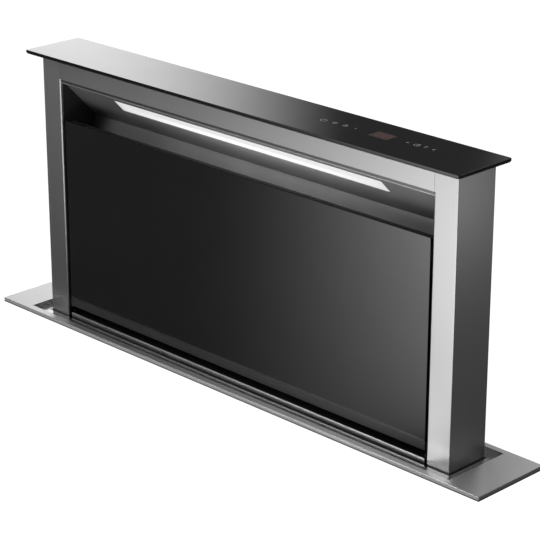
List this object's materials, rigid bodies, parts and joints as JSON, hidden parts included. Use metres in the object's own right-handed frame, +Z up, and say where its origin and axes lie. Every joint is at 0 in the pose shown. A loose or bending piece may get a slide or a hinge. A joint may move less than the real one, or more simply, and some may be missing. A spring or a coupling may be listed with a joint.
{
  "type": "downdraft range hood",
  "caption": "Pop-up worktop extractor: a steel and black-glass tower with lamp, filters and touch controls rises from a worktop plate over its casing and blower.",
  "frame": {"origin": "centre of the gasket's underside, where the hood rests on the worktop", "axes": "+Z up, out of the worktop; -Y towards the cook; +X to the cook's right, along the hood"},
  "size_m": [0.9, 0.3856, 0.918],
  "materials": {
    "stainless": "brushed",
    "zinc_steel": "matt zinc coat",
    "bright_steel": "polished",
    "foam_rubber": "matt",
    "black_glass": "polished",
    "black_sheet": "satin",
    "black_plastic": "matt",
    "fan_grey": "satin",
    "mesh_aluminium": "satin",
    "lamp_white": "frosted",
    "circuit_board": "satin"
  },
  "bodies": {
    "root": {"worktop_plate": "stainless", "casing_front": "zinc_steel", "casing_rear": "zinc_steel", "casing_sides": "zinc_steel", "casing_floor": "zinc_steel", "guide_posts": "zinc_steel", "fixed_rails": "zinc_steel", "worktop_clamps": "zinc_steel", "support_legs": "zinc_steel", "blower_box": "zinc_steel", "blower_cover": "zinc_steel", "blower_screws": "zinc_steel", "actuator_tubes": "bright_steel", "worktop_gasket": "foam_rubber", "tower_seal": "foam_rubber", "limit_switches": "black_plastic", "fan_scroll": "black_plastic", "inlet_ring": "black_plastic", "outlet_collar": "black_plastic", "electronics_box": "black_plastic", "electronics_cover": "black_plastic", "cable_gland": "black_plastic", "lift_motors": "black_plastic", "fan_motor": "fan_grey", "main_board": "circuit_board"},
    "mid_rails": {"mid_rails": "zinc_steel"},
    "left_screw": {"left_lead_screw": "bright_steel"},
    "right_screw": {"right_lead_screw": "bright_steel"},
    "impeller": {"impeller": "fan_grey"},
    "front_flap": {"damper_front_flap": "black_plastic"},
    "rear_flap": {"damper_rear_flap": "black_plastic"},
    "panel": {"panel_glass": "black_glass", "panel_tray": "black_sheet"},
    "left_latch": {"left_filter_latch": "black_plastic"},
    "right_latch": {"right_filter_latch": "black_plastic"},
    "tower": {"cap_glass": "black_glass", "cap_carrier": "black_sheet", "touch_board": "circuit_board", "display_module": "circuit_board", "left_column": "stainless", "right_column": "stainless", "column_liners": "black_sheet", "front_beam": "stainless", "light_baffle": "black_sheet", "light_diffuser": "lamp_white", "led_channel": "mesh_aluminium", "led_board": "circuit_board", "lower_deflector": "black_sheet", "filter_frame": "black_sheet", "left_filter": "mesh_aluminium", "right_filter": "mesh_aluminium", "drip_tray": "black_sheet", "front_skirt": "stainless", "rear_cover": "stainless", "bottom_frame": "zinc_steel", "moving_rails": "zinc_steel", "push_tubes": "bright_steel", "lift_brackets": "zinc_steel", "panel_fittings": "black_plastic"}
  },
  "joints": [
    {"name": "tower_lift", "type": "slide", "parent": "root", "child": "tower", "axis": [0, 0, 1], "range_m": [-0.38, 0]},
    {"name": "mid_rail_slide", "type": "slide", "parent": "root", "child": "mid_rails", "axis": [0, 0, 1], "range_m": [-0.19, 0]},
    {"name": "left_screw_spin", "type": "hinge", "parent": "root", "child": "left_screw", "pos_m": [-0.3575, 0.0215, -0.25], "axis": [0, 0, 1], "range_deg": [-6841, 0]},
    {"name": "right_screw_spin", "type": "hinge", "parent": "root", "child": "right_screw", "pos_m": [0.3575, 0.0215, -0.25], "axis": [0, 0, 1], "range_deg": [-6841, 0]},
    {"name": "panel_tilt", "type": "hinge", "parent": "tower", "child": "panel", "pos_m": [0, -0.019, 0.02], "axis": [1, 0, 0], "range_deg": [0, 60]},
    {"name": "left_latch_slide", "type": "slide", "parent": "tower", "child": "left_latch", "axis": [0, 0, 1], "range_m": [-0.005, 0], "stiffness_N_per_m": 400, "springref_m": 0.005},
    {"name": "right_latch_slide", "type": "slide", "parent": "tower", "child": "right_latch", "axis": [0, 0, 1], "range_m": [-0.005, 0], "stiffness_N_per_m": 400, "springref_m": 0.005},
    {"name": "impeller_spin", "type": "hinge", "parent": "root", "child": "impeller", "pos_m": [-0.04, -0.14, -0.4], "axis": [0, 1, 0], "continuous": true},
    {"name": "front_flap_swing", "type": "hinge", "parent": "root", "child": "front_flap", "pos_m": [0.2, -0.13775, -0.332], "axis": [0, 0, 1], "range_deg": [0, 75], "stiffness_Nm_per_rad": 0.02},
    {"name": "rear_flap_swing", "type": "hinge", "parent": "root", "child": "rear_flap", "pos_m": [0.2, -0.13775, -0.332], "axis": [0, 0, 1], "range_deg": [-75, 0]}
  ],
  "couplings": [
    {"joint": "mid_rail_slide", "follows": "tower_lift", "ratio": 0.5},
    {"joint": "left_screw_spin", "follows": "tower_lift", "rad_per_m": 314.16},
    {"joint": "right_screw_spin", "follows": "tower_lift", "rad_per_m": 314.16},
    {"joint": "rear_flap_swing", "follows": "front_flap_swing", "ratio": -1}
  ]
}
